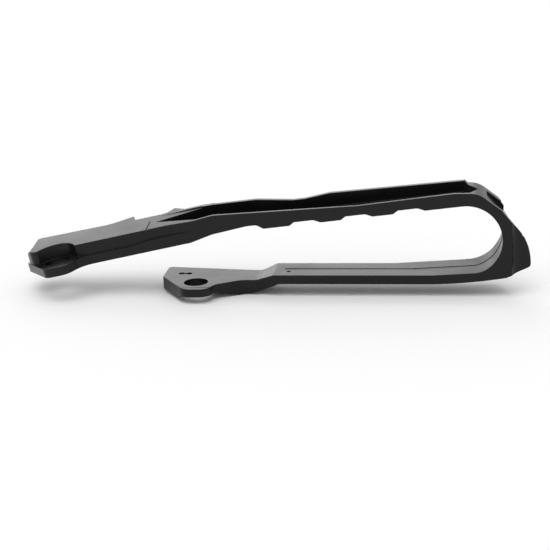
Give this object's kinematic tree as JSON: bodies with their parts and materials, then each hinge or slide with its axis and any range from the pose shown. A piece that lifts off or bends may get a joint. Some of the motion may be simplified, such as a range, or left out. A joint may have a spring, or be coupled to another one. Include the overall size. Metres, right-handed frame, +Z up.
{
  "type": "chain slider",
  "caption": "Moulded hairpin chain slider for a motorcycle swingarm, with a chain channel on the upper arm, a nose at the bend and a screw tab on each arm.",
  "frame": {"origin": "axis of the lower screw hole, at the height of the lower tab's underside beside that hole", "axes": "+X towards the nose, along the pad; +Y from the screw holes' side to the far side; +Z up, along the axis of the lower screw hole"},
  "size_m": [0.3886, 0.0614, 0.0819],
  "materials": {
    "slider_plastic": "black moulded plastic with a satin surface"
  },
  "bodies": {
    "root": {"slider": "slider_plastic"}
  },
  "joints": []
}
